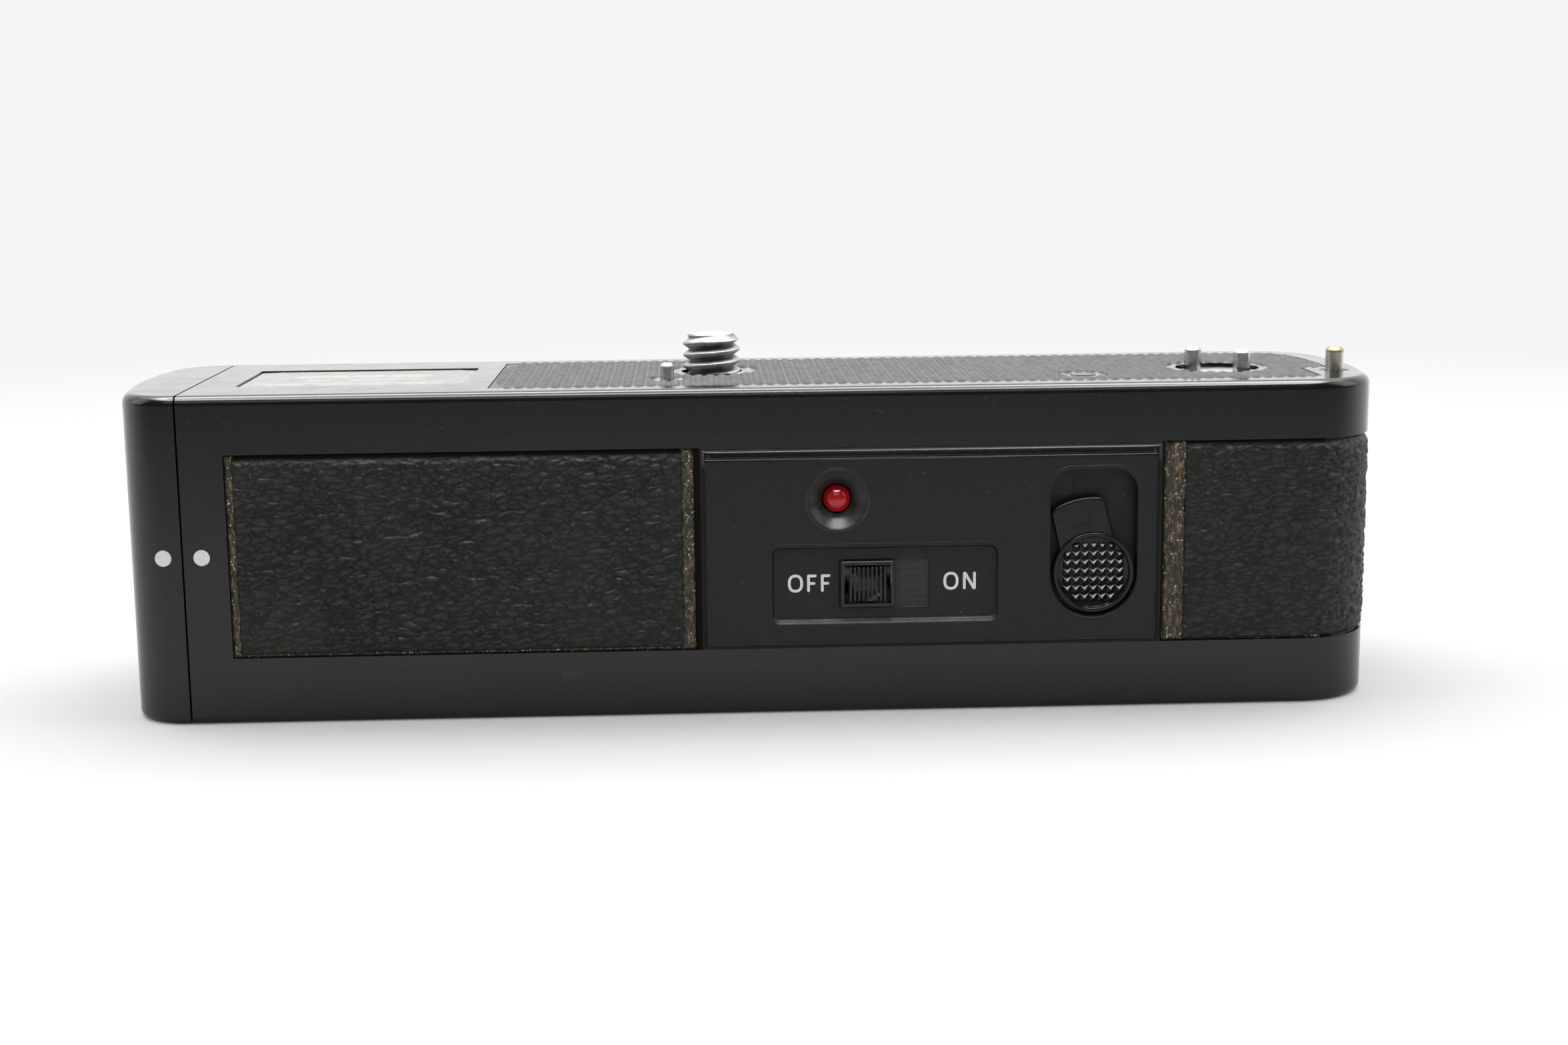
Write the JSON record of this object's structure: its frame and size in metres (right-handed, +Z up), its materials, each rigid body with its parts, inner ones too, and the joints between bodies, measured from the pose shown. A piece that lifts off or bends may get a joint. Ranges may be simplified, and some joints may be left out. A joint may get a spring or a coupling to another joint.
{
  "type": "camera power winder",
  "caption": "Black battery-powered film winder that screws under a camera, with drive coupler, slide switch, lamp, rewind-release lever and a pull-out battery magazine.",
  "frame": {"origin": "middle of the foot, on the surface the winder stands on", "axes": "+X to the right seen from the back, +Y towards the lens side, +Z up towards the camera"},
  "size_m": [0.1359, 0.0328, 0.0392],
  "materials": {
    "black_paint": "satin black stove enamel",
    "black_leather": "fine wrinkled grain",
    "grip_rubber": "fine scale relief",
    "plate_metal": "satin, bare",
    "panel_plastic": "fine matte",
    "control_plastic": "semi-gloss, ribbed or knurled",
    "lamp_red": "clear red moulding",
    "white_paint": "filled paint dot",
    "chrome_plate": "bright nickel chrome",
    "contact_metal": "nickel shank, gold tip",
    "knob_metal": "black anodised, coin slot",
    "socket_metal": "nickel plated",
    "bolt_steel": "blackened steel",
    "inner_plastic": "moulded black",
    "spring_steel": "bright wire and strip",
    "gear_brass": "machined",
    "frame_steel": "zinc plated",
    "magnet_ferrite": "dull grey",
    "board_laminate": "board laminate and parts",
    "cell_jacket": "plain jacketed cells"
  },
  "bodies": {
    "winder_body": {"main_housing": "black_paint", "top_cover": "black_paint", "body_dot": "white_paint", "rear_leather": "black_leather", "wrap_leather": "black_leather", "front_leather": "black_leather", "grip_sheet": "grip_rubber", "name_plate": "plate_metal", "control_panel": "panel_plastic", "switch_body": "inner_plastic", "status_lamp": "lamp_red", "release_bush": "black_paint", "terminal_block": "inner_plastic", "terminal_contacts": "frame_steel", "magazine_detents": "spring_steel", "screw_sleeve": "gear_brass", "screw_collar": "black_paint", "tripod_socket": "socket_metal", "guide_bush": "gear_brass", "contact_bush": "gear_brass", "gear_spindles": "frame_steel", "lower_gear_plate": "frame_steel", "upper_gear_plate": "frame_steel", "coupler_bushes": "gear_brass", "gear_plate_posts": "frame_steel", "gear_plate_screws": "bolt_steel", "coupler_ring": "black_paint", "motor_can": "frame_steel", "motor_end_cover": "inner_plastic", "motor_magnets": "magnet_ferrite", "switch_board": "board_laminate", "logic_board": "board_laminate", "board_posts": "board_laminate", "board_components": "board_laminate", "housing_bolts": "bolt_steel", "guide_spring": "spring_steel", "contact_spring": "spring_steel", "release_spring": "spring_steel"},
    "magazine": {"end_cap": "black_paint", "cap_dot": "white_paint", "end_leather": "black_leather", "magazine_frame": "inner_plastic", "battery_cells": "cell_jacket", "magazine_contacts": "frame_steel", "magazine_screws": "bolt_steel"},
    "attaching_spindle": {"attaching_screw": "chrome_plate", "attaching_knob": "knob_metal"},
    "switch_slider": {"switch_knob": "control_plastic"},
    "lever_carriage": {"release_carriage": "inner_plastic"},
    "lever": {"release_lever": "control_plastic"},
    "rewind_pin": {"release_pin": "chrome_plate"},
    "guide_stud": {"guide_pin": "chrome_plate"},
    "contact_stud": {"contact_pin": "contact_metal"},
    "rotor": {"motor_armature": "frame_steel", "motor_shaft": "frame_steel", "motor_pinion": "gear_brass"},
    "first_wheel": {"first_gear": "gear_brass"},
    "second_wheel": {"second_gear": "gear_brass"},
    "drive_coupler": {"coupler": "chrome_plate", "coupler_gear": "gear_brass"}
  },
  "joints": [
    {"name": "magazine_slide", "type": "slide", "parent": "winder_body", "child": "magazine", "axis": [-1, 0, 0], "range_m": [0, 0.055]},
    {"name": "attaching_turn", "type": "hinge", "parent": "winder_body", "child": "attaching_spindle", "pos_m": [-0.0044, 0.0021, 0.02], "axis": [0, 0, 1], "continuous": true},
    {"name": "switch_slide", "type": "slide", "parent": "winder_body", "child": "switch_slider", "axis": [1, 0, 0], "range_m": [0, 0.0036]},
    {"name": "lever_slide", "type": "slide", "parent": "winder_body", "child": "lever_carriage", "axis": [0, 0, 1], "range_m": [0, 0.002], "stiffness_N_per_m": 250},
    {"name": "lever_turn", "type": "hinge", "parent": "lever_carriage", "child": "lever", "pos_m": [0.0358, -0.014, 0.01475], "axis": [0, 1, 0], "range_deg": [0, 13]},
    {"name": "rewind_pin_slide", "type": "slide", "parent": "winder_body", "child": "rewind_pin", "axis": [0, 0, 1], "range_m": [0, 0.002], "deforming": ["release_spring"]},
    {"name": "guide_press", "type": "slide", "parent": "winder_body", "child": "guide_stud", "axis": [0, 0, -1], "range_m": [0, 0.0015], "stiffness_N_per_m": 200, "deforming": ["guide_spring"]},
    {"name": "contact_press", "type": "slide", "parent": "winder_body", "child": "contact_stud", "axis": [0, 0, -1], "range_m": [0, 0.0015], "stiffness_N_per_m": 200, "deforming": ["contact_spring"]},
    {"name": "rotor_spin", "type": "hinge", "parent": "winder_body", "child": "rotor", "pos_m": [0.015, 0.0026, 0.02], "axis": [0, 0, 1], "continuous": true},
    {"name": "first_wheel_spin", "type": "hinge", "parent": "winder_body", "child": "first_wheel", "pos_m": [0.02738, 0.00434, 0.028], "axis": [0, 0, 1], "continuous": true},
    {"name": "second_wheel_spin", "type": "hinge", "parent": "winder_body", "child": "second_wheel", "pos_m": [0.03928, 0.00283, 0.028], "axis": [0, 0, 1], "continuous": true},
    {"name": "coupler_spin", "type": "hinge", "parent": "winder_body", "child": "drive_coupler", "pos_m": [0.052, -0.0017, 0.03], "axis": [0, 0, 1], "continuous": true}
  ],
  "couplings": [
    {"joint": "first_wheel_spin", "follows": "rotor_spin", "ratio": -0.31579},
    {"joint": "second_wheel_spin", "follows": "rotor_spin", "ratio": 0.13003},
    {"joint": "coupler_spin", "follows": "rotor_spin", "ratio": -0.045511},
    {"joint": "rewind_pin_slide", "follows": "lever_slide", "ratio": 1}
  ]
}
